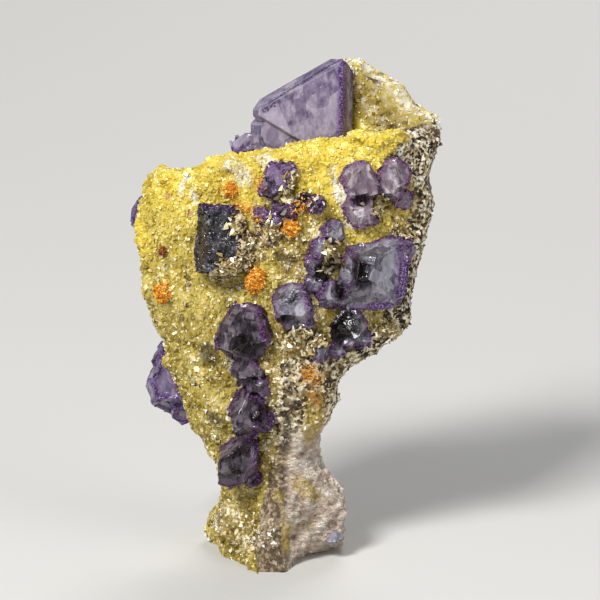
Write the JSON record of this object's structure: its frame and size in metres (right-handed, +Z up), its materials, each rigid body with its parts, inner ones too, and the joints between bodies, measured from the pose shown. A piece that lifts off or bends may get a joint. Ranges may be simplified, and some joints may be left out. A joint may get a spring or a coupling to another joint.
{
  "type": "fluorite specimen",
  "caption": "Standing mineral specimen: purple, partly clear fluorite crystals on a crust of small yellow crystals over broken rock, with orange iron oxide tufts.",
  "frame": {"origin": "in the flat broken foot that the specimen stands on, below the crystals' column", "axes": "+Z up, along the specimen's longest extent; -Y towards the viewer of the crystal side; +X to that viewer's right"},
  "size_m": [0.0715, 0.0451, 0.1152],
  "materials": {
    "rock": "matte",
    "crust": "satin",
    "fluorite": "gloss",
    "iron_oxide": "matte"
  },
  "bodies": {
    "root": {"host_rock": "rock", "yellow_crust": "crust", "summit_crystal": "fluorite", "ridge_crystal": "fluorite", "left_rim_crystal": "fluorite", "back_crystals": "fluorite", "dark_block": "fluorite", "upper_cluster": "fluorite", "heart_twin": "fluorite", "right_cluster": "fluorite", "middle_crystal": "fluorite", "high_column_crystals": "fluorite", "middle_column_crystals": "fluorite", "low_column_crystals": "fluorite", "foot_crystal": "fluorite", "iron_tuft_crown": "iron_oxide", "iron_tuft_shoulder": "iron_oxide", "iron_tuft_centre": "iron_oxide", "iron_tuft_below_block": "iron_oxide", "iron_tuft_left": "iron_oxide", "iron_tuft_left_small": "iron_oxide"}
  },
  "joints": []
}
